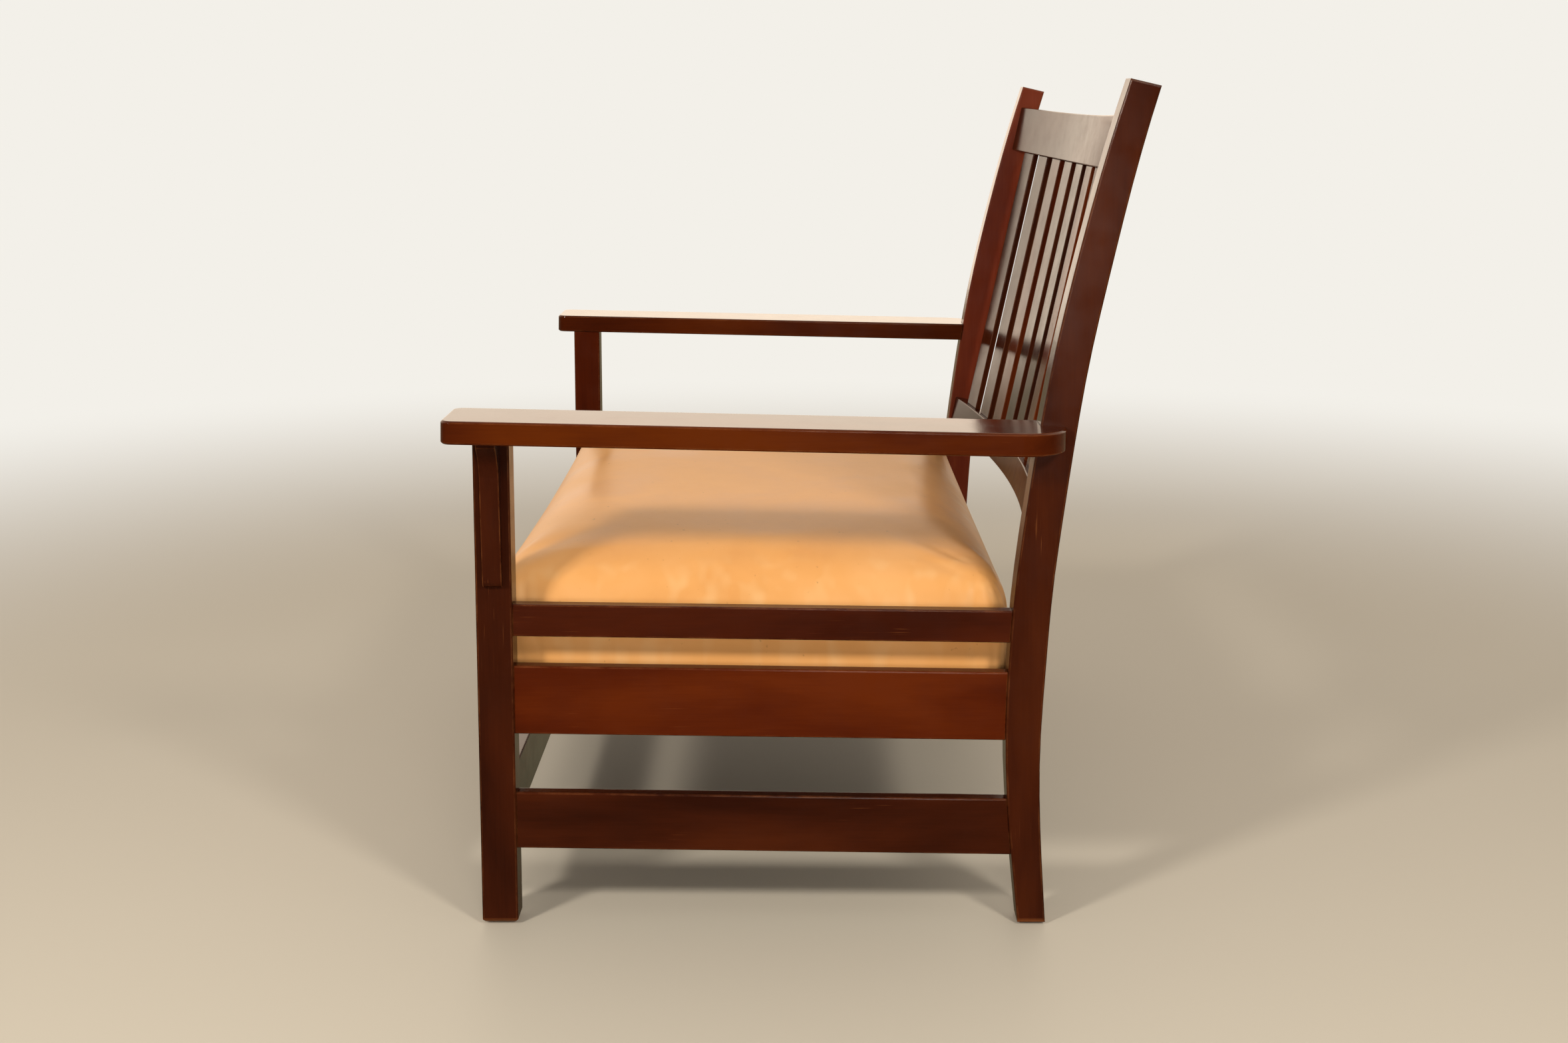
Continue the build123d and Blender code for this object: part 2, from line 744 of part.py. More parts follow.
def build_frame_cross(x, width):
    """A side bar or the middle bar, between the front and back bars."""
    with BuildPart() as bar:
        with BuildSketch(seat_plane):
            with Locations((x, 0)):
                Rectangle(width, 2 * well_half_y)
        extrude(amount=seat_frame_height)
        with BuildSketch(seat_plane.offset((seat_frame_height - seat_frame_tenon_thickness) / 2)):
            with Locations((x, 0)):
                Rectangle(seat_frame_width * leg_tenon_share, 2 * (well_half_y + seat_frame_tenon_length))
        extrude(amount=seat_frame_tenon_thickness)
    return bar.part


def under_seat_limits():
    """Half length, front and back of what is tacked under the frame, clear of the cleats."""
    half_x = side_rail_x - side_cleat_width - cleat_end_gap
    y_front = front_rail_y + front_rail_thickness + long_cleat_width + cleat_end_gap
    y_rear = back_seat_rail_y - long_cleat_width - cleat_end_gap
    return half_x, y_front - seat_mid_y, y_rear - seat_mid_y


def build_webbing():
    """Jute strips tacked under the frame: crosswise next to it, lengthwise below."""
    half_x, y_front, y_rear = under_seat_limits()
    with BuildPart() as webbing:
        with BuildSketch(seat_plane.offset(-webbing_thickness)):
            for index in range(webbing_crosswise):
                x = (index - (webbing_crosswise - 1) / 2) * 2 * well_half_x / webbing_crosswise
                with Locations((x, (y_front + y_rear) / 2)):
                    Rectangle(webbing_width, y_rear - y_front)
        extrude(amount=webbing_thickness)
        with BuildSketch(seat_plane.offset(-2 * webbing_thickness - joint_gap)):
            for index in range(webbing_lengthwise):
                y = (index - (webbing_lengthwise - 1) / 2) * 2 * well_half_y / webbing_lengthwise
                with Locations((0, y)):
                    Rectangle(2 * half_x, webbing_width)
        extrude(amount=webbing_thickness)
    return webbing.part


def build_dust_cover():
    half_x, y_front, y_rear = under_seat_limits()
    high = -2 * (webbing_thickness + joint_gap)
    return seat_box(half_x, y_front, y_rear, high - dust_cover_thickness, high)


def coil_point(x, y, turn):
    """A point on a spring's wire after so many turns, narrow at the waist."""
    rise = spring_height - spring_wire - 2 * joint_gap
    along = turn / spring_turns
    radius = spring_radius * (1 - spring_waist_share * sin(pi * along))
    angle = 2 * pi * turn
    height = spring_wire / 2 + joint_gap + rise * along
    return seat_plane.from_local_coords((x + radius * cos(angle), y + radius * sin(angle), height))


def build_spring(x, y):
    """One hourglass coil of the sprung seat, standing on the webbing."""
    steps = round(spring_turns * spring_turn_steps)
    half_step = 1 / (2 * spring_turn_steps)
    with BuildPart() as spring:
        for step in range(steps + 1):
            turn = step / spring_turn_steps
            ahead = min(turn + half_step, spring_turns)
            behind = max(turn - half_step, 0.0)
            run = coil_point(x, y, ahead) - coil_point(x, y, behind)
            section = Plane(origin=coil_point(x, y, turn), x_dir=seat_plane.z_dir.cross(run), z_dir=run)
            with BuildSketch(section):
                Rectangle(spring_wire, spring_wire)
        loft(ruled=True)
    return spring.part


def build_springs():
    """Rows of coils in the two bays of the frame."""
    coils = []
    for column in range(spring_columns):
        x = (column - (spring_columns - 1) / 2) * 2 * well_half_x / spring_columns
        for row in range(spring_rows):
            y = (row - (spring_rows - 1) / 2) * 2 * well_half_y / spring_rows
            coils.append(build_spring(x, y))
    return Compound(children=coils)


def build_padding():
    """Hair and wadding round and over the springs, under the leather."""
    cavity_top = spring_height + hessian_thickness + soft_gap
    with BuildPart() as padding:
        add(crowned_form(frame_inset))
        add(seat_box(seat_half_width, -seat_depth, seat_depth, 0, seat_frame_height + joint_gap),
            mode=Mode.SUBTRACT)
        add(seat_box(well_half_x, -well_half_y, well_half_y, 0, cavity_top), mode=Mode.SUBTRACT)
    return padding.part


def build_leather():
    """The stretched leather cover, open below."""
    with BuildPart() as cover:
        add(crowned_form(0.0))
        add(crowned_form(leather_thickness), mode=Mode.SUBTRACT)
    return cover.part


def build_glides():
    """Four steel nail glides, one in the middle of each foot."""
    with BuildPart() as glides:
        with BuildSketch(Plane.XY):
            for place in foot_places():
                with Locations(place):
                    RegularPolygon(glide_diameter / 2, glide_sides)
        extrude(amount=glide_height)
        chamfer(glides.faces().group_by(Axis.Z)[0].edges(), length=glide_edge)
        with BuildSketch(Plane.XY.offset(glide_height)):
            for place in foot_places():
                with Locations(place):
                    RegularPolygon(glide_nail_diameter / 2, fastener_sides)
        extrude(amount=glide_nail_length)
    return glides.part


def build_both(piece):
    """A group of identical fasteners at both ends, as separate solids."""
    return Compound(children=[*piece.solids(), *piece.mirror(Plane.YZ).solids()])


os.makedirs("parts", exist_ok=True)

# Ends of the settle
save_pair(build_front_leg(), "front_leg")
save_pair(build_back_post(), "back_post")
save_pair(build_arm(), "arm")
save_pair(build_corbel(), "arm_corbel")
for name, top, height in side_rails:
    with BuildPart() as side_rail:
        add(build_side_rail(top, height))
        if name == "seat_side_rail":
            add(side_screws(glue_gap), mode=Mode.SUBTRACT)
    save_pair(side_rail.part, name)

# Long rails
with BuildPart() as front_seat_rail:
    add(build_long_rail(front_rail_y, front_rail_thickness, seat_rail_top, seat_rail_height))
    add(long_screws(front_rail_y + front_rail_thickness + long_cleat_width, -1, glue_gap), mode=Mode.SUBTRACT)
save(front_seat_rail.part, "front_seat_rail")
with BuildPart() as back_seat_rail:
    add(build_long_rail(back_seat_rail_y, back_seat_rail_thickness, back_seat_rail_top, seat_rail_height))
    add(long_screws(back_seat_rail_y - long_cleat_width, 1, glue_gap), mode=Mode.SUBTRACT)
save(back_seat_rail.part, "back_seat_rail")
save(build_long_rail(front_rail_y, front_rail_thickness, front_stretcher_top, front_stretcher_height),
     "front_stretcher")

# Bowed back
save(build_bowed_rail(0.0, lower_back_rail_height), "lower_back_rail")
save(build_bowed_rail(crest_foot_rise, crest_rail_height), "crest_rail")
for index, place in enumerate(slat_places()):
    save(build_slat(*place), f"back_slat_{index + 1}")

# Seat supports
cleat_half = side_rail_x - side_cleat_width - cleat_end_gap
with BuildPart() as front_cleat:
    add(cleat_box(front_rail_y + front_rail_thickness, long_cleat_width, cleat_half))
    add(long_screws(front_rail_y + front_rail_thickness + long_cleat_width, -1, glue_gap), mode=Mode.SUBTRACT)
save(front_cleat.part, "seat_cleat_front")
with BuildPart() as back_cleat:
    add(cleat_box(back_seat_rail_y - long_cleat_width, long_cleat_width, cleat_half))
    add(long_screws(back_seat_rail_y - long_cleat_width, 1, glue_gap), mode=Mode.SUBTRACT)
save(back_cleat.part, "seat_cleat_back")
save_pair(build_side_cleat(), "seat_cleat")

# Drop-in seat
save(build_frame_bar(-1), "seat_frame_front")
save(build_frame_bar(1), "seat_frame_back")
save(build_frame_cross(frame_half_x - seat_frame_width / 2, seat_frame_width), "seat_frame_right")
save(build_frame_cross(seat_frame_width / 2 - frame_half_x, seat_frame_width), "seat_frame_left")
save(build_frame_cross(0, seat_cross_width), "seat_frame_middle")
save(build_webbing(), "seat_webbing")
save(build_dust_cover(), "dust_cover")
save(build_springs(), "seat_springs")
save(seat_box(well_half_x - soft_gap, soft_gap - well_half_y, well_half_y - soft_gap, spring_height,
              spring_height + hessian_thickness), "spring_cloth")
save(build_padding(), "seat_padding")
save(build_leather(), "leather_cover")

# Fasteners and feet
save(build_both(arm_dowels(dowel_diameter, dowel_length)), "arm_dowels")
save(build_both(corbel_dowels(dowel_diameter, corbel_dowel_length)), "corbel_dowels")
save(build_both(side_screws()), "side_cleat_screws")
long_cleat_fixings = [
    *long_screws(front_rail_y + front_rail_thickness + long_cleat_width, -1).solids(),
    *long_screws(back_seat_rail_y - long_cleat_width, 1).solids(),
]
save(Compound(children=long_cleat_fixings), "long_cleat_screws")
save(build_glides(), "foot_glides")
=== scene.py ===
# %% [markdown]
# # A mission settle in stained mahogany and tan leather
# The settle's joinery is already modelled to size. This lesson loads it as a fixed frame and gives
# it its looks: lacquered wood, a stuffed leather seat, and the small metal and cloth parts.
# Everything is in metres. +X is the right end as seen from the front, -Y the front, +Z up.

# %% Load the frame
import math

import bpy
import numpy as np
from mathutils import Matrix, Vector


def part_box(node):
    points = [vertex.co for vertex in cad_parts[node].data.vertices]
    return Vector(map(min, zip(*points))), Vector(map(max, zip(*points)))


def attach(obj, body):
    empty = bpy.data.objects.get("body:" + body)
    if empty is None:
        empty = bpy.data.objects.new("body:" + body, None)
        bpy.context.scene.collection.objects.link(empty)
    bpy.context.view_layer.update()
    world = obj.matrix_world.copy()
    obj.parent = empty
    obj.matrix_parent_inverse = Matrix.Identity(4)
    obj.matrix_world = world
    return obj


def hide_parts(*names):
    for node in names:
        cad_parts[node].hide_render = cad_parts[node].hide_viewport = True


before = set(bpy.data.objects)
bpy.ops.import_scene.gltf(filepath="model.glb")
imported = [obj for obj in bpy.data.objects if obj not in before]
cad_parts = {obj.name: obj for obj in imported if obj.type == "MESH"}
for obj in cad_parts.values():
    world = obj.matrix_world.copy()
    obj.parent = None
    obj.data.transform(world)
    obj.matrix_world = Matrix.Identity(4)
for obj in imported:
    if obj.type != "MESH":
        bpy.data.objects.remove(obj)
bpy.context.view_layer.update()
mm = 0.001

# %% [markdown]
# Colours are written as the sRGB hex values that the eye compares, and one function turns them to
# the linear values that a shader works with. One more function adds a node with its settings and
# links, so that each material reads as a list of what it is made of.


# %% Colour and node helpers
def linear(hex_colour):
    """An sRGB hex colour as linear red, green, blue and alpha."""
    channels = [int(hex_colour[i:i + 2], 16) / 255 for i in (1, 3, 5)]
    return [c / 12.92 if c <= 0.04045 else ((c + 0.055) / 1.055) ** 2.4 for c in channels] + [1.0]


def add_node(tree, kind, sockets=None, stops=(), **settings):
    """Adds a node, sets its options and colour stops, and gives its sockets a value or a link."""
    made = tree.nodes.new(kind)
    for option, value in settings.items():
        setattr(made, option, value)
    for extra in stops[2:]:
        made.color_ramp.elements.new(extra[0])
    for element, (position, colour) in zip(made.color_ramp.elements if stops else (), stops):
        element.position = position
        element.color = linear(colour)
    for name, value in (sockets or {}).items():
        if isinstance(value, bpy.types.NodeSocket):
            tree.links.new(value, made.inputs[name])
        else:
            made.inputs[name].default_value = value
    return made


def new_material(name):
    """An empty material with its node tree and its output."""
    material = bpy.data.materials.new(name)
    material.use_nodes = True
    material.node_tree.nodes.clear()
    output = add_node(material.node_tree, "ShaderNodeOutputMaterial")
    return material, material.node_tree, output


# %% [markdown]
# Mahogany is a dense brown wood with short pores that run along the grain and soft, uneven clouds
# across it. Here it has a red-brown stain under a satin clear lacquer. The pores are stretched
# noise along the board, the clouds a broader noise. Real pores are under half a millimetre wide,
# too fine to show at this distance, so they are drawn about 1.2 mm wide. The lacquer is the
# shader's own gloss, set low for a face seen square on. It gives pale reflections on faces that
# are seen at a low angle and leaves the others dark and rich.

# %% Where the figure of the wood comes from
pore_width = 1.2 * mm
pore_stretch = 0.03
pore_share = 0.14
cloud_width = 42 * mm
cloud_stretch = 0.25
grain_axes = {"X": 0, "Y": 1, "Z": 2}


def along_grain(tree, place, grain, stretch):
    """The place with its grain axis shortened, so that noise there grows long along the board."""
    scale = [1.0] * 3
    scale[grain_axes[grain]] = stretch
    return add_node(tree, "ShaderNodeMapping", {"Vector": place, "Scale": scale}).outputs[0]


def wood_figure(tree, place, grain):
    """The pores, and the whole figure of pores and clouds, each about 0 to 1."""
    pores = add_node(tree, "ShaderNodeTexNoise",
                     {"Vector": along_grain(tree, place, grain, pore_stretch),
                      "Scale": 0.5 / pore_width, "Detail": 3.0, "Roughness": 0.65}).outputs["Fac"]
    clouds = add_node(tree, "ShaderNodeTexNoise",
                      {"Vector": along_grain(tree, place, grain, cloud_stretch),
                       "Scale": 0.5 / cloud_width, "Detail": 4.0, "Roughness": 0.5,
                       "Distortion": 0.3}).outputs["Fac"]
    figure = add_node(tree, "ShaderNodeMix", {0: pore_share, 2: clouds, 3: pores}).outputs[0]
    return pores, figure


# %% [markdown]
# Forty or more years of hands, shoes and brooms show in four ways. Rubbed corners let a lighter
# orange-brown through, which a bevelled normal finds: it differs from the true one only near an
# edge. The feet are scuffed at the floor. Faint scratches run along the boards in a few patches.
# And the lacquer's gloss is uneven, where it has been wiped and polished.

# %% Wear
worn_edge_width = 2.4 * mm
rubbed_patches_a_metre = 24.0
foot_scuff_height, foot_scuff_full = 9 * mm, 4 * mm
bare_wood = "#96582E"


def edge_wear(tree, place, eased):
    """Where the stain has gone: along edges, unevenly, and round the feet."""
    surface = add_node(tree, "ShaderNodeNewGeometry").outputs["Normal"]
    flatness = add_node(tree, "ShaderNodeVectorMath", {0: surface, 1: eased},
                        operation="DOT_PRODUCT").outputs["Value"]
    sharp = add_node(tree, "ShaderNodeMapRange",
                     {"Value": flatness, "From Min": 0.995, "From Max": 0.90}).outputs[0]
    rub = add_node(tree, "ShaderNodeTexNoise",
                   {"Vector": place, "Scale": rubbed_patches_a_metre, "Detail": 5.0,
                    "Roughness": 0.7}).outputs["Fac"]
    patchy = add_node(tree, "ShaderNodeMapRange",
                      {"Value": rub, "From Min": 0.40, "From Max": 0.68, "To Max": 0.75}).outputs[0]
    edges = add_node(tree, "ShaderNodeMath", {0: sharp, 1: patchy}, operation="MULTIPLY").outputs[0]
    height = add_node(tree, "ShaderNodeSeparateXYZ", {0: place}).outputs["Z"]
    foot = add_node(tree, "ShaderNodeMapRange",
                    {"Value": height, "From Min": foot_scuff_height,
                     "From Max": foot_scuff_full}).outputs[0]
    feet = add_node(tree, "ShaderNodeMath", {0: foot, 1: rub}, operation="MULTIPLY").outputs[0]
    worn = add_node(tree, "ShaderNodeMath", {0: edges, 1: feet}, operation="MAXIMUM").outputs[0]
    return worn, rub


# %% Scratches
scratch_width = 0.6 * mm
scratch_stretch = 0.018
scratched_patches_a_metre = 7.0


def scratches(tree, place, grain):
    """Thin light marks along the board, in patches."""
    lines = add_node(tree, "ShaderNodeTexNoise",
                     {"Vector": along_grain(tree, place, grain, scratch_stretch),
                      "Scale": 0.5 / scratch_width, "Detail": 1.0,
                      "Distortion": 0.1}).outputs["Fac"]
    thin = add_node(tree, "ShaderNodeMapRange",
                    {"Value": lines, "From Min": 0.70, "From Max": 0.80, "To Max": 0.35}).outputs[0]
    patches = add_node(tree, "ShaderNodeTexNoise",
                       {"Vector": place, "Scale": scratched_patches_a_metre,
                        "Detail": 1.0}).outputs["Fac"]
    where = add_node(tree, "ShaderNodeMapRange",
                     {"Value": patches, "From Min": 0.54, "From Max": 0.62}).outputs[0]
    return add_node(tree, "ShaderNodeMath", {0: thin, 1: where}, operation="MULTIPLY").outputs[0]


# %% Stained mahogany
lacquer_ior = 1.5
lacquer_gloss = 0.17
pore_depth = 0.4 * mm


def mahogany(name, grain, stain, smooth, rough):
    """Stained and lacquered mahogany with its grain along X, Y or Z, in the given tones, which for
    the left back post carry painted light.
    """
    material, tree, output = new_material(name)
    place = add_node(tree, "ShaderNodeTexCoord").outputs["Object"]
    eased = add_node(tree, "ShaderNodeBevel", {"Radius": worn_edge_width},
                     samples=6).outputs["Normal"]
    pores, figure = wood_figure(tree, place, grain)
    wood = add_node(tree, "ShaderNodeValToRGB", {"Fac": figure},
                    stops=((0.34, stain[0]), (0.50, stain[1]), (0.66, stain[2]))).outputs["Color"]
    worn, rub = edge_wear(tree, place, eased)
    worn = add_node(tree, "ShaderNodeMath", {0: worn, 1: scratches(tree, place, grain)},
                    operation="MAXIMUM").outputs[0]
    colour = add_node(tree, "ShaderNodeMix", {0: worn, 6: wood, 7: linear(bare_wood)},
                      data_type="RGBA").outputs[2]
    gloss = add_node(tree, "ShaderNodeMapRange",
                     {"Value": rub, "From Min": 0.3, "From Max": 0.7, "To Min": smooth,
                      "To Max": rough}).outputs[0]
    relief = add_node(tree, "ShaderNodeBump",
                      {"Height": pores, "Strength": 0.07, "Distance": pore_depth,
                       "Normal": eased}).outputs[0]
    shader = add_node(tree, "ShaderNodeBsdfPrincipled",
                      {"Base Color": colour, "Roughness": gloss, "Normal": relief,
                       "IOR": lacquer_ior, "Specular IOR Level": lacquer_gloss})
    tree.links.new(shader.outputs[0], output.inputs["Surface"])
    return material


# %% [markdown]
# A joiner lays the grain along each board, so every board gets the material that runs its own way.
# The boards also came out of the stain in slightly different tones, each written here as a dark, a
# middle and a light colour. The left back post's bright tone is painted light: it is lighter than
# its stain, for the light that falls on it. The arms are rubbed smoother by hands than the other
# boards. The figure is noise in space, so two boards never carry the same one, wherever they lie.

# %% The tones of the stain, one of them painted light
stain_and_light_tones = {"red": ("#3B1104", "#4C1905", "#5C2307"), "brown": ("#2B0F06", "#3A1608", "#471D0A"),
          "russet": ("#351207", "#441909", "#501F0B"), "dark": ("#261007", "#32140A", "#3D1B0D"),
          # The bright tone is painted light: it makes the left back post lighter than its stain.
          "bright": ("#541D0F", "#6B2B18", "#7D3720"),
          "polished": ("#361105", "#471A06", "#562306")}
# back_post_left takes the bright tone, as painted light for the light that falls on it.
tones = {"seat_side_rail": "red", "arm_left": "polished", "arm_right": "polished",
         "front_leg_left": "red", "back_post_left": "bright", "upper_side_rail": "russet",
         "back_slat_3": "red", "back_slat_5": "dark", "back_slat_6": "red", "back_slat_9": "russet"}
satin_roughness, rubbed_roughness = (0.14, 0.24), (0.09, 0.15)
print("stain_and_light_tones", sorted(stain_and_light_tones))

# %% Dress the joinery
runs_along_x = ("front_seat_rail", "back_seat_rail", "front_stretcher", "lower_back_rail",
                "crest_rail")
runs_along_y = ("arm_left", "arm_right", "upper_side_rail", "seat_side_rail", "lower_side_rail")
runs_upright = ("front_leg", "back_post", "arm_corbel", "back_slat")


def dress(node_name, material):
    """Puts one material on every slot of a CAD node."""
    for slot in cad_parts[node_name].material_slots:
        slot.material = material


wood = {}
for grain, starts in (("X", runs_along_x), ("Y", runs_along_y), ("Z", runs_upright)):
    for board in (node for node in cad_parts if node.startswith(starts)):
        tone = next((tones[start] for start in tones if board.startswith(start)), "brown")
        if (grain, tone) not in wood:
            roughness = rubbed_roughness if tone == "polished" else satin_roughness
            wood[grain, tone] = mahogany(f"stained_mahogany_{tone}_{grain.lower()}", grain,
                                         stain_and_light_tones[tone], *roughness)
        dress(board, wood[grain, tone])
print("kinds of board", sorted(wood))

# %% [markdown]
# The seat's frame and the cleats under it are plain planed hardwood that nobody sees, so they
# carry a paler, matt wood. The dowels are turned beech.


# %% Bare hardwood
def bare_hardwood(name, pale, dark, grain):
    """Planed, unfinished hardwood with fine straight grain."""
    material, tree, output = new_material(name)
    place = add_node(tree, "ShaderNodeTexCoord").outputs["Object"]
    lines = add_node(tree, "ShaderNodeTexNoise",
                     {"Vector": along_grain(tree, place, grain, pore_stretch),
                      "Scale": 0.25 / pore_width, "Detail": 6.0, "Roughness": 0.6}).outputs["Fac"]
    planed = add_node(tree, "ShaderNodeValToRGB", {"Fac": lines},
                      stops=((0.35, dark), (0.65, pale))).outputs["Color"]
    relief = add_node(tree, "ShaderNodeBump",
                      {"Height": lines, "Strength": 0.25, "Distance": 0.3 * mm}).outputs[0]
    shader = add_node(tree, "ShaderNodeBsdfPrincipled",
                      {"Base Color": planed, "Roughness": 0.62, "Normal": relief})
    tree.links.new(shader.outputs[0], output.inputs["Surface"])
    return material


# %% Dress the hidden wood
ash_x = bare_hardwood("planed_ash_along_x", "#C9A273", "#A67C4E", "X")
ash_y = bare_hardwood("planed_ash_along_y", "#C9A273", "#A67C4E", "Y")
beech = bare_hardwood("turned_beech", "#D9B488", "#BE945F", "X")
seat_frame_sides = ["seat_frame_front", "seat_frame_back", "seat_frame_left", "seat_frame_right"]
for name in ("seat_cleat_front", "seat_cleat_back", *seat_frame_sides[:2]):
    dress(name, ash_x)
for name in ("seat_cleat_left", "seat_cleat_right", *seat_frame_sides[2:], "seat_frame_middle"):
    dress(name, ash_y)
for name in ("arm_dowels", "corbel_dowels"):
    dress(name, beech)
print("hidden wood in", ash_x.name, ash_y.name, "and", beech.name)

# %% [markdown]
# Three kinds of steel are used: coppered spring wire gone dull, bright turned screws, and pressed
# glides rubbed by the floor. Each is a metal with a fine noise in its roughness, and keeps the
# default IOR.


# %% Steel
scuffs_a_metre = 400.0


def steel(name, colour, smooth, rough):
    """Worn bare steel, its roughness broken up by fine scratches."""
    material, tree, output = new_material(name)
    place = add_node(tree, "ShaderNodeTexCoord").outputs["Object"]
    scuffs = add_node(tree, "ShaderNodeTexNoise",
                      {"Vector": place, "Scale": scuffs_a_metre, "Detail": 4.0}).outputs["Fac"]
    dull = add_node(tree, "ShaderNodeMapRange",
                    {"Value": scuffs, "To Min": smooth, "To Max": rough}).outputs[0]
    shader = add_node(tree, "ShaderNodeBsdfPrincipled",
                      {"Base Color": linear(colour), "Metallic": 1.0, "Roughness": dull})
    tree.links.new(shader.outputs[0], output.inputs["Surface"])
    return material


dress("seat_springs", steel("coppered_spring_wire", "#8A6A50", 0.35, 0.55))
screw_steel = steel("turned_screw_steel", "#B9B6B0", 0.22, 0.40)
dress("side_cleat_screws", screw_steel)
dress("long_cleat_screws", screw_steel)
dress("foot_glides", steel("pressed_glide_steel", "#A8A49C", 0.25, 0.50))

# %% [markdown]
# The seat is a box of springs and stuffing with one hide pulled over it. The leather goes straight
# down at the sides, rolls over a full shoulder and rises to a low crown. At the front it swells
# out over the rail, and at the two ends the shoulder is rounder. The form is drawn as rings that
# follow this profile, with the crown let down a little, because the next step fills it out.

# %% The seat's profile
seat_low, seat_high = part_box("leather_cover")
seat_fall = math.radians(0.82)
seat_crown = 172 * mm
seat_front_swell = 21 * mm
# Small corrections for the seat's slope, found by comparing the form with the CAD cover
half_depth_correction, middle_correction = 1.2 * mm, 0.8 * mm
seat_half_width = seat_high.x
seat_half_depth = (seat_high.y - seat_low.y - seat_front_swell) / 2 + half_depth_correction
seat_middle = seat_high.y - seat_half_depth - middle_correction
seat_bed = seat_low.z + seat_half_depth * math.sin(seat_fall)
seat_corner = 22 * mm
# Pull-in from the sides, and height as a share of the crown
seat_profile = ((0, 0), (0, 0.24), (0, 0.46), (0.6, 0.60), (3, 0.72), (9, 0.82), (22, 0.89),
                (46, 0.935), (84, 0.966), (134, 0.989), (187, 1.0))
print("seat half width and depth", round(seat_half_width / mm, 1), round(seat_half_depth / mm, 1))


def smooth_profile(steps):
    """Points along a smooth curve through the profile, with how far up each lies."""
    points = np.array([(pull * mm, share * seat_crown) for pull, share in seat_profile])
    ends = np.vstack([points[0], points, points[-1]])
    curve = []
    for a, b, c, d in zip(ends, ends[1:], ends[2:], ends[3:]):
        for t in np.linspace(0, 1, steps, endpoint=False):
            curve.append(0.5 * (2 * b + (c - a) * t + (2 * a - 5 * b + 4 * c - d) * t**2
                                + (3 * b - a - 3 * c + d) * t**3))
    return np.array(curve + [points[-1]])


# %% One ring of the seat
def rounded_ring(half_x, front, rear, radius, per_side=40, per_corner=10):
    """Points round a rectangle with rounded corners, counter-clockwise."""
    corner_points = []
    for sign_x, sign_y, quarter in ((1, 1, 0), (-1, 1, 1), (-1, -1, 2), (1, -1, 3)):
        centre = np.array([sign_x * (half_x - radius),
                           (rear - radius) if sign_y > 0 else (front + radius)])
        for angle in math.pi / 2 * (quarter + np.linspace(0, 1, per_corner)):
            corner_points.append(centre + radius * np.array([math.cos(angle), math.sin(angle)]))
    ring = []
    for index, point in enumerate(corner_points):
        ring.append(point)
        if index % per_corner == per_corner - 1:
            following = corner_points[(index + 1) % len(corner_points)]
            ring.extend(point + (following - point) * s / per_side for s in range(1, per_side))
    return np.array(ring)


def seat_point(x, y, rise):
    """A place in the seat's own sloping frame, as a place in the room."""
    return (x, seat_middle + y * math.cos(seat_fall) + rise * math.sin(seat_fall),
            seat_bed + rise * math.cos(seat_fall) - y * math.sin(seat_fall))


# %% The rings as one closed form
corner_spread = 0.75
end_pull = 1.6
crown_slack = 7 * mm
slack_pull = 0.6
profile_steps = 5
# Heights as shares of the crown, and what share of the swell or the slack each height has
swell_by_height = ((0.22, 0.36, 0.50, 0.64), (0.03, 0.35, 0.85, 1.0))
slack_by_height = ((0.5, 0.9, 1.0), (0.0, 0.6, 1.0))


def seat_form(slack):
    """The closed seat form as points and faces; slack is how far its crown is let down."""
    rings = []
    for pull, rise in smooth_profile(profile_steps):
        share = rise / seat_crown
        swell = seat_front_swell * np.interp(share, *swell_by_height)
        loose = slack * np.interp(share, *slack_by_height)
        inset = pull + slack_pull * loose
        ring = rounded_ring(seat_half_width - end_pull * inset, -seat_half_depth - swell + inset,
                            seat_half_depth - inset, seat_corner + pull * corner_spread)
        rings.append([(x, y, rise - loose) for x, y in ring])
    top = np.array(rings[-1])
    middle = top.mean(axis=0)
    for share in (0.75, 0.5, 0.25):
        rings.append([tuple(middle + (p - middle) * [share, share, 1.0]) for p in top])
    count = len(rings[0])
    faces = [(r * count + i, r * count + (i + 1) % count, (r + 1) * count + (i + 1) % count,
              (r + 1) * count + i) for r in range(len(rings) - 1) for i in range(count)]
    faces += [tuple(range(count))[::-1], tuple(range((len(rings) - 1) * count, len(rings) * count))]
    return [seat_point(*p) for ring in rings for p in ring], faces


def mesh_object(name, points, faces):
    """A mesh object from points and faces, linked into the scene."""
    mesh = bpy.data.meshes.new(name)
    mesh.from_pydata([tuple(map(float, p)) for p in points], [], faces)
    made = bpy.data.objects.new(name, mesh)
    bpy.context.collection.objects.link(made)
    return made


seat = mesh_object("leather_seat", *seat_form(crown_slack))
print("seat form", len(seat.data.vertices), "points")

# %% [markdown]
# Cloth stretches evenly only on an even mesh, so the form is first cut into squares. Then the
# cloth solver fills it: the sides stay pinned below, as the hide is tacked there, and pressure
# stretches the top until it finds the slack and the crown that a drawn form lacks. Gravity is
# off. No point may end up more than 12 mm from where it began, which keeps the seat inside its
# real size.

# %% Fill the seat
fill_limit = 12 * mm
fill_pressure = 0.8
fill_steps = 14
hide_stretch_stiffness, hide_bend_stiffness = 20.0, 1.0
pinned_height = seat_bed + 80 * mm


def apply_modifiers(piece):
    """Replaces the mesh by what its modifiers make of it."""
    evaluated = piece.evaluated_get(bpy.context.evaluated_depsgraph_get())
    mesh = bpy.data.meshes.new_from_object(evaluated)
    piece.modifiers.clear()
    piece.data = mesh


def places(piece):
    """The piece's points as an array."""
    flat = np.empty(len(piece.data.vertices) * 3, np.float32)
    piece.data.vertices.foreach_get("co", flat)
    return flat.reshape(-1, 3)


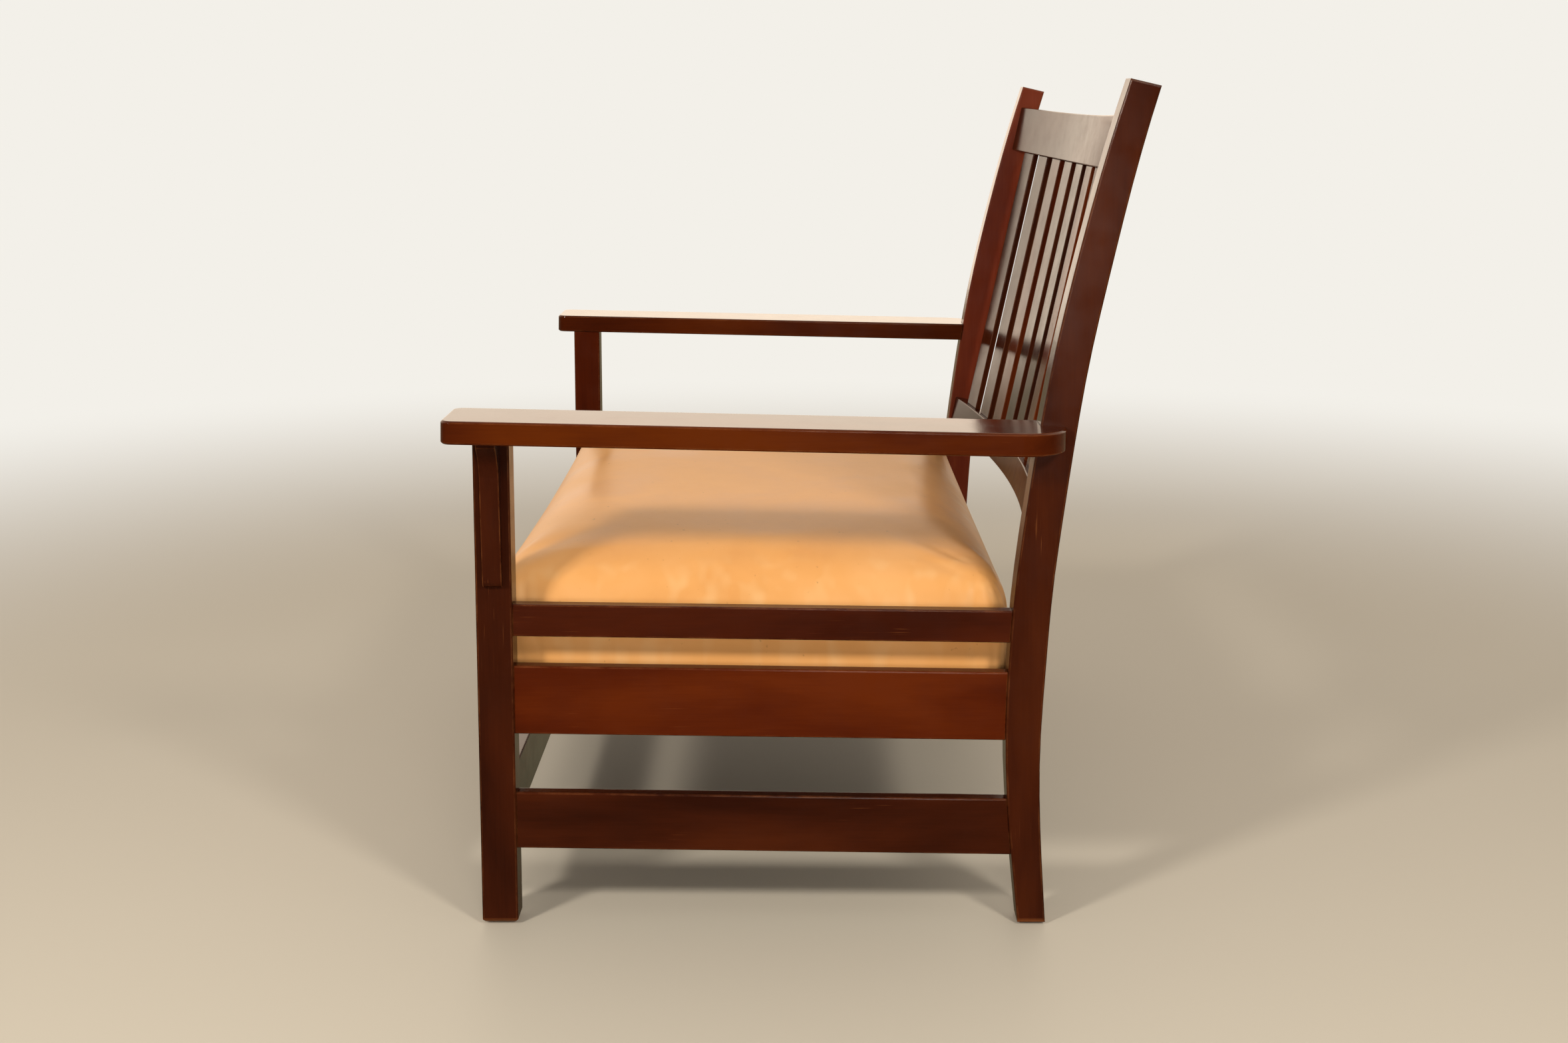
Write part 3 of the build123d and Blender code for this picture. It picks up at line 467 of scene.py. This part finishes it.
def fill_with_pressure(piece):
    """Swells the pinned cover with cloth pressure and caps how far it may go."""
    start = places(piece).copy()
    pinned = piece.vertex_groups.new(name="tacked")
    pinned.add([int(i) for i in np.where(start[:, 2] < pinned_height)[0]], 1.0, "REPLACE")
    cloth = piece.modifiers.new("stuffing", "CLOTH")
    cloth.settings.vertex_group_mass = "tacked"
    cloth.settings.use_pressure = True
    cloth.settings.uniform_pressure_force = fill_pressure
    cloth.settings.effector_weights.gravity = 0.0
    cloth.settings.tension_stiffness = hide_stretch_stiffness
    cloth.settings.compression_stiffness = hide_stretch_stiffness
    cloth.settings.bending_stiffness = hide_bend_stiffness
    for step in range(1, fill_steps + 1):
        bpy.context.scene.frame_set(step)
    apply_modifiers(piece)
    bpy.context.scene.frame_set(1)
    moved = places(piece) - start
    reach = np.linalg.norm(moved, axis=1, keepdims=True)
    capped = start + moved * np.minimum(1.0, fill_limit / np.maximum(reach, 1e-9))
    piece.data.vertices.foreach_set("co", capped.astype(np.float32).ravel())
    print("filled", len(start), "points, moved", round(float(np.median(reach)) / mm, 1),
          "mm in the middle and", round(float(reach.max()) / mm, 1), "mm at most")


# %% Cut into even squares, then fill
square = 9 * mm
remesh = seat.modifiers.new("even_squares", "REMESH")
remesh.mode = "VOXEL"
remesh.voxel_size = square
apply_modifiers(seat)
fill_with_pressure(seat)

# %% [markdown]
# Where the hide is folded round a corner, the spare leather makes short pleats. Four of them are
# pressed in at each corner, as narrow grooves that run down it and fade out where the shoulder
# begins.

# %% Pleats at the corners
pleat_depth = 2.2 * mm
pleat_centre = 1.6 * seat_corner
past_corner = 25 * mm
# Angle round the corner, half width, and share of the depth
pleats = ((-0.28, 0.10, 1.0), (0.45, 0.10, 1.0), (0.80, 0.08, 0.7), (1.12, 0.10, 0.9))
# Heights in metres, and what share of its depth a pleat has there
pleats_by_height = ((0.03, 0.06, 0.13, 0.155), (0.35, 1.0, 1.0, 0.0))
# Heights as shares of the crown, and what share of its swell the front has there
front_by_height = ((0.22, 0.64), (0.0, 1.0))


def press_pleats(piece):
    """Grooves round the four corners of the seat."""
    points = places(piece)
    rise = points[:, 2] - seat_bed + (points[:, 1] - seat_middle) * math.sin(seat_fall)
    fade = np.interp(rise, *pleats_by_height)
    front = -seat_half_depth - seat_front_swell * np.interp(rise / seat_crown, *front_by_height)
    for sign_x in (1, -1):
        for sign_y, edge in ((1, seat_half_depth), (-1, front)):
            across = points[:, 0] - sign_x * (seat_half_width - pleat_centre)
            along = points[:, 1] - seat_middle - (edge - sign_y * pleat_centre)
            angle = np.arctan2(along * sign_y, across * sign_x)
            outside = (across * sign_x > 0) & (along * sign_y > -past_corner)
            for where, width, share in pleats:
                bell = np.exp(-((angle - where) / width) ** 2)
                groove = share * pleat_depth * fade * bell * outside
                points[:, 0] -= groove * np.cos(angle) * sign_x
                points[:, 1] -= groove * np.sin(angle) * sign_y
    piece.data.vertices.foreach_set("co", points.astype(np.float32).ravel())


ease = seat.modifiers.new("ease", "SUBSURF")
ease.levels = ease.render_levels = 1
apply_modifiers(seat)
press_pleats(seat)
seat.data.polygons.foreach_set("use_smooth", [True] * len(seat.data.polygons))
print("seat", len(seat.data.polygons), "faces")

# %% [markdown]
# The hide is tan, vegetable-tanned leather, pulled tight. It has a fine pebbled grain of about a
# millimetre and a half, broad clouds where the dye took unevenly, and a few darker specks. On the
# roll below the shoulder, soft pale smears are painted down it as highlights. It shines softly, as
# leather does once it has been sat on, and most where it is seen at a low angle.

# %% The colour of the hide
hide_tones = ((0.30, "#E19F5B"), (0.52, "#EBAB66"), (0.75, "#F2B676"))
# The pale colour is a painted highlight on the roll below the shoulder; the specks are the hide's
# own.
painted_highlight_colour, speck_colour = "#F8D39C", "#A8713F"
dye_clouds_a_metre, highlight_smears_a_metre, specks_a_metre = 7.0, 36.0, 130.0
shoulder_height = 0.86 * seat_crown + seat_bed
shoulder_reach = 12 * mm


def hide_colour(tree, place, upright, clouds):
    """Clouds of dye, pale smears painted below the shoulder as highlights, and dark specks."""
    hide = add_node(tree, "ShaderNodeValToRGB", {"Fac": clouds}, stops=hide_tones).outputs["Color"]
    # Painted highlight: pale vertical smears on the roll below the shoulder, where light catches
    # the leather.
    highlight_noise = add_node(tree, "ShaderNodeTexNoise",
                     {"Vector": upright, "Scale": highlight_smears_a_metre, "Detail": 1.0,
                      "Distortion": 0.2}).outputs["Fac"]
    highlight_smears = add_node(tree, "ShaderNodeMapRange",
                       {"Value": highlight_noise, "From Min": 0.50, "From Max": 0.85,
                        "To Max": 0.4}).outputs[0]
    height = add_node(tree, "ShaderNodeSeparateXYZ", {0: place}).outputs["Z"]
    roll = add_node(tree, "ShaderNodeMapRange",
                    {"Value": height, "From Min": shoulder_height + shoulder_reach,
                     "From Max": shoulder_height - shoulder_reach},
                    interpolation_type="SMOOTHSTEP").outputs[0]
    painted_highlights = add_node(tree, "ShaderNodeMath", {0: highlight_smears, 1: roll},
                      operation="MULTIPLY").outputs[0]
    hide = add_node(tree, "ShaderNodeMix", {0: painted_highlights, 6: hide, 7: linear(painted_highlight_colour)},
                    data_type="RGBA").outputs[2]
    specks = add_node(tree, "ShaderNodeTexNoise",
                      {"Vector": place, "Scale": specks_a_metre,
                       "Detail": 2.0}).outputs["Fac"]
    speck = add_node(tree, "ShaderNodeMapRange",
                     {"Value": specks, "From Min": 0.72, "From Max": 0.79,
                      "To Max": 0.5}).outputs[0]
    return add_node(tree, "ShaderNodeMix", {0: speck, 6: hide, 7: linear(speck_colour)},
                    data_type="RGBA").outputs[2]


# %% The feel of the hide
hide_grain = 1.4 * mm
creases_a_metre = 42.0
pebble_depth, crease_depth = 0.3 * mm, 2 * mm


def hide_relief(tree, place, upright):
    """A pebbled grain, with soft creases over it."""
    pebbles = add_node(tree, "ShaderNodeTexVoronoi", {"Vector": place, "Scale": 1 / hide_grain},
                       feature="F1").outputs["Distance"]
    creases = add_node(tree, "ShaderNodeTexNoise",
                       {"Vector": upright, "Scale": creases_a_metre, "Detail": 2.0,
                        "Roughness": 0.5, "Distortion": 0.5}).outputs["Fac"]
    grained = add_node(tree, "ShaderNodeBump",
                       {"Height": pebbles, "Strength": 0.12, "Distance": pebble_depth}).outputs[0]
    return add_node(tree, "ShaderNodeBump",
                    {"Height": creases, "Strength": 0.12, "Distance": crease_depth,
                     "Normal": grained}).outputs[0]


# %% Tan leather
hide_ior = 1.48
hide_gloss = 0.13
hide_roughness = (0.31, 0.43)


def tan_leather():
    """Smooth tan upholstery leather, semi-gloss from use."""
    material, tree, output = new_material("tan_leather")
    place = add_node(tree, "ShaderNodeTexCoord").outputs["Object"]
    upright = add_node(tree, "ShaderNodeMapping",
                       {"Vector": place, "Scale": [1.0, 1.0, 0.3]}).outputs[0]
    clouds = add_node(tree, "ShaderNodeTexNoise",
                      {"Vector": place, "Scale": dye_clouds_a_metre, "Detail": 4.0,
                       "Roughness": 0.5, "Distortion": 0.2}).outputs["Fac"]
    dull = add_node(tree, "ShaderNodeMapRange",
                    {"Value": clouds, "From Min": 0.3, "From Max": 0.7,
                     "To Min": hide_roughness[0], "To Max": hide_roughness[1]}).outputs[0]
    shader = add_node(tree, "ShaderNodeBsdfPrincipled",
                      {"Base Color": hide_colour(tree, place, upright, clouds), "Roughness": dull,
                       "Normal": hide_relief(tree, place, upright), "IOR": hide_ior,
                       "Specular IOR Level": hide_gloss})
    tree.links.new(shader.outputs[0], output.inputs["Surface"])
    return material


seat.data.materials.clear()
seat.data.materials.append(tan_leather())
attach(seat, "root")
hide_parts("leather_cover", "seat_padding")

# %% [markdown]
# Under the seat, jute webbing carries the springs, a hessian cloth covers them, and a thin black
# cloth keeps the dust in. All of it is stretched and tacked. The threads are real ones, drawn as
# two crossed waves: a thread is wider than in life only in the dust cloth, where it would be too
# fine to show.


# %% Woven cloth
def woven(name, thread, gap, thread_width):
    """Plain-woven cloth; thread_width is the width of one thread as drawn."""
    material, tree, output = new_material(name)
    place = add_node(tree, "ShaderNodeTexCoord").outputs["Object"]
    threads = [add_node(tree, "ShaderNodeTexWave",
                        {"Vector": place, "Scale": math.pi / 20 / thread_width, "Distortion": 0.6,
                         "Detail": 1.0}, bands_direction=way).outputs["Fac"] for way in "XY"]
    weave = add_node(tree, "ShaderNodeMath", {0: threads[0], 1: threads[1]},
                     operation="MULTIPLY").outputs[0]
    colour = add_node(tree, "ShaderNodeValToRGB", {"Fac": weave},
                      stops=((0.0, gap), (0.5, thread))).outputs["Color"]
    relief = add_node(tree, "ShaderNodeBump",
                      {"Height": weave, "Strength": 0.5, "Distance": thread_width}).outputs[0]
    shader = add_node(tree, "ShaderNodeBsdfPrincipled",
                      {"Base Color": colour, "Roughness": 0.9, "Normal": relief,
                       "Sheen Weight": 0.2})
    tree.links.new(shader.outputs[0], output.inputs["Surface"])
    return material


jute = woven("jute_webbing", "#A98C62", "#6E5738", 2 * mm)
hessian = woven("hessian", "#B0926A", "#6B5638", 1.5 * mm)
calico = woven("black_calico", "#2A2827", "#121110", 0.8 * mm)

# %% [markdown]
# A cloth stretched over a frame still dips or rises a little between its tacks, and webbing goes
# over and under its neighbours. So each cloth is a grid of points whose height follows a slow
# wave, given its thickness by a modifier. The rises are in millimetres above the underside of the
# seat's frame.


# %% Stretched cloths
def cloth_grid(points, faces, x_range, y_range, rise_at, spacing):
    """Adds a grid over a rectangle to points and faces."""
    xs = np.linspace(*x_range, max(2, round((x_range[1] - x_range[0]) / spacing) + 1))
    ys = np.linspace(*y_range, max(2, round((y_range[1] - y_range[0]) / spacing) + 1))
    first = len(points)
    points += [seat_point(x, y, rise_at(x, y)) for x in xs for y in ys]
    faces += [(first + i * len(ys) + j, first + (i + 1) * len(ys) + j,
               first + (i + 1) * len(ys) + j + 1, first + i * len(ys) + j + 1)
              for i in range(len(xs) - 1) for j in range(len(ys) - 1)]


def finish_cloth(name, points, faces, thickness, node, material):
    """Makes a stretched cloth from its grid and lets it stand for its CAD node."""
    cloth = mesh_object(name, points, faces)
    cloth.data.polygons.foreach_set("use_smooth", [True] * len(cloth.data.polygons))
    cloth.data.materials.append(material)
    body = cloth.modifiers.new("thickness", "SOLIDIFY")
    body.thickness = thickness
    body.offset = 0.0
    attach(cloth, "root")
    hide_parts(node)
    print(name, len(faces), "faces")


def local_y(low, high):
    """The depth range of a node in the seat's own frame."""
    return low.y - seat_middle, high.y - seat_middle


def rippled(level, ripple, waves):
    """A height that ripples slowly over a cloth, from millimetres."""
    return lambda x, y: (level + ripple * math.cos(x * waves[0]) * math.cos(y * waves[1])) * mm


# %% Dust cloth
cloth_low, cloth_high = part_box("dust_cover")
half_x, depths = cloth_high.x, local_y(cloth_low, cloth_high)
points, faces = [], []
cloth_grid(points, faces, (-half_x, half_x), depths,
           rippled(level=-3.2, ripple=-0.35, waves=(40, 31)), spacing=18 * mm)
finish_cloth("dust_cloth", points, faces, 0.4 * mm, "dust_cover", calico)

# %% Webbing, woven over and under
strip_width = 50 * mm
crosswise, lengthwise = 9, 5
across_pitch, along_pitch = 102.0 * mm, 104.3 * mm
webbing_rise, weave_height = -1.3 * mm, 0.65 * mm
strips = [((i - crosswise // 2) * across_pitch, None) for i in range(crosswise)]
strips += [(None, (j - lengthwise // 2) * along_pitch) for j in range(lengthwise)]
points, faces = [], []
for x, y in strips:
    turn = 1 if y is None else -1
    x_range = (x - strip_width / 2, x + strip_width / 2) if y is None else (-half_x, half_x)
    y_range = depths if y is None else (y - strip_width / 2, y + strip_width / 2)
    cloth_grid(points, faces, x_range, y_range,
               lambda at_x, at_y: webbing_rise
               + turn * weave_height * math.cos(math.pi * at_x / across_pitch)
               * math.cos(math.pi * at_y / along_pitch), spacing=12.5 * mm)
finish_cloth("jute_webbing", points, faces, 1.1 * mm, "seat_webbing", jute)

# %% Hessian over the springs
cloth_low, cloth_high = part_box("spring_cloth")
points, faces = [], []
cloth_grid(points, faces, (-cloth_high.x, cloth_high.x), local_y(cloth_low, cloth_high),
           rippled(level=92.5, ripple=0.15, waves=(41, 36)), spacing=20 * mm)
finish_cloth("hessian_cloth", points, faces, 0.6 * mm, "spring_cloth", hessian)

# %% [markdown]
# The settle stands on a plain pale floor in a pale room. The floor is lit near the settle, so that
# it takes the shadows, and fades further out into the same colour as the room, so that no horizon
# shows. The fade is for the camera only and sheds no light. What the lacquer mirrors of the floor
# is a painted reflection: a glow seen only in reflections, bright beyond the settle and dark on the
# camera's side.

# %% Floor
room_colour, floor_colour, mirrored_floor = "#F3F0E9", "#CFC7B7", "#8F8468"
fade_start, fade_end = 1.3, 4.2
mirror_bright, mirror_dark = 1.0, 0.15
floor_material, tree, output = new_material("painted_floor")
place = add_node(tree, "ShaderNodeTexCoord").outputs["Object"]
reach = add_node(tree, "ShaderNodeVectorMath", {0: place}, operation="LENGTH").outputs["Value"]
fade = add_node(tree, "ShaderNodeMapRange",
                {"Value": reach, "From Min": fade_start, "From Max": fade_end},
                interpolation_type="SMOOTHSTEP").outputs[0]
lit = add_node(tree, "ShaderNodeBsdfPrincipled",
               {"Base Color": linear(floor_colour), "Roughness": 0.6}).outputs[0]
far_off = add_node(tree, "ShaderNodeEmission",
                   {"Color": linear(room_colour), "Strength": 1.0}).outputs[0]
rays = add_node(tree, "ShaderNodeLightPath").outputs
faded = add_node(tree, "ShaderNodeMath", {0: fade, 1: rays["Is Camera Ray"]},
                 operation="MULTIPLY").outputs[0]
seen = add_node(tree, "ShaderNodeMixShader", {0: faded, 1: lit, 2: far_off}).outputs[0]
across = add_node(tree, "ShaderNodeSeparateXYZ", {0: place}).outputs["X"]
# Painted reflection: glossy rays see a glow in place of the lit floor, dimmed on the camera's side.
dimmed = add_node(tree, "ShaderNodeMapRange",
                  {"Value": across, "From Min": -0.4, "From Max": 0.9, "To Min": mirror_bright,
                   "To Max": mirror_dark}).outputs[0]
mirrored = add_node(tree, "ShaderNodeEmission",
                    {"Color": linear(mirrored_floor), "Strength": dimmed}).outputs[0]
surface = add_node(tree, "ShaderNodeMixShader", {0: rays["Is Glossy Ray"], 1: seen, 2: mirrored})
tree.links.new(surface.outputs[0], output.inputs["Surface"])

half_floor = 12.0
floor = mesh_object("floor", [(-half_floor, -half_floor, 0), (half_floor, -half_floor, 0),
                              (half_floor, half_floor, 0), (-half_floor, half_floor, 0)],
                    [(0, 1, 2, 3)])
floor.data.materials.append(floor_material)
print("floor fades from", fade_start, "to", fade_end, "m")

# %% [markdown]
# The room gives an even, soft light from all round. What lacquer and metal mirror is the pale room
# too, but only its far wall is bright: on the lamps' side the room is dark, as a studio is behind
# the camera. That keeps the wood's near faces deep in colour while its low-angle faces shine.

# %% Room
room_light, mirrored_wall = "#FFF9F0", "#FFEBD3"
room_strength = 0.34
wall_bright, wall_dark = 2.0, 0.05
world = bpy.data.worlds.new("room")
bpy.context.scene.world = world
world.use_nodes = True
sky = world.node_tree
sky.nodes.clear()
paths = add_node(sky, "ShaderNodeLightPath").outputs
way = add_node(sky, "ShaderNodeTexCoord").outputs["Generated"]
side = add_node(sky, "ShaderNodeSeparateXYZ", {0: way}).outputs["X"]
wall_strength = add_node(sky, "ShaderNodeMapRange",
                         {"Value": side, "From Min": -0.15, "From Max": 0.5,
                          "To Min": wall_bright, "To Max": wall_dark}).outputs[0]
light = add_node(sky, "ShaderNodeBackground",
                 {"Color": linear(room_light), "Strength": room_strength}).outputs[0]
backdrop = add_node(sky, "ShaderNodeBackground",
                    {"Color": linear(room_colour), "Strength": 1.0}).outputs[0]
wall = add_node(sky, "ShaderNodeBackground",
                {"Color": linear(mirrored_wall), "Strength": wall_strength}).outputs[0]
shiny = add_node(sky, "ShaderNodeMath",
                 {0: paths["Is Glossy Ray"], 1: paths["Is Transmission Ray"]},
                 operation="MAXIMUM").outputs[0]
around = add_node(sky, "ShaderNodeMixShader", {0: shiny, 1: light, 2: wall}).outputs[0]
room = add_node(sky, "ShaderNodeMixShader", {0: paths["Is Camera Ray"], 1: around, 2: backdrop})
add_node(sky, "ShaderNodeOutputWorld", {"Surface": room.outputs[0]})
print("room light", room_light, "at", room_strength)

# %% [markdown]
# Two soft lamps stand on the camera's side, one on each hand and about a metre above it. The near
# arm stops both, and its leg and post stop one each, so that a soft dark arc lies over the seat. A
# weak lamp, a little lower than the camera, reaches the leather under the upper side rail.

# %% Lamps
lamp_colour = "#FFF7EC"
lamp_aim = Vector((0, 0, 0.45))


def soft_lamp(name, place, width, power):
    """A square soft lamp aimed at the seat, its width in metres and its power in watts."""
    lamp = bpy.data.lights.new(name, "AREA")
    lamp.size = width
    lamp.energy = power
    lamp.color = linear(lamp_colour)[:3]
    made = bpy.data.objects.new(name, lamp)
    made.location = place
    made.rotation_euler = (lamp_aim - made.location).to_track_quat("-Z", "Y").to_euler()
    bpy.context.collection.objects.link(made)
    print(name, "at", place)


soft_lamp("lamp_front", (2.5, -1.95, 1.98), width=0.4, power=50)
soft_lamp("lamp_rear", (2.6, 1.35, 2.05), width=0.4, power=35)
soft_lamp("lamp_low", (2.9, 0.2, 0.75), width=0.5, power=15)

# %% [markdown]
# The camera looks along the settle from its right end, at the height of the posts' tops. The view
# is framed low, so most of that is done by tilting the camera and the rest by a small lens shift,
# which keeps the uprights nearly parallel as in a furniture photograph.

# %% Camera
image_width, image_height = 2357, 1568
camera_place = Vector((2.7842, -0.0214, 0.9962))
camera_tilt, camera_turn, camera_roll = math.radians(7.0), 0.00629, -0.00244
focal_pixels, horizon_row = 2874.7, 510.7
lens = bpy.data.cameras.new("camera")
lens.sensor_width = 36.0
lens.lens = focal_pixels / image_width * lens.sensor_width
lens.shift_y = (horizon_row - image_height / 2) / image_width
camera = bpy.data.objects.new("camera", lens)
aim = (Matrix.Rotation(math.pi / 2 + camera_turn, 4, "Z")
       @ Matrix.Rotation(math.pi / 2 - camera_tilt, 4, "X")
       @ Matrix.Rotation(camera_roll, 4, "Z"))
camera.matrix_world = Matrix.Translation(camera_place) @ aim
bpy.context.collection.objects.link(camera)
bpy.context.scene.camera = camera
bpy.context.scene.view_settings.view_transform = "Standard"
print("lens", round(lens.lens, 2), "mm, shift", round(lens.shift_y, 4))
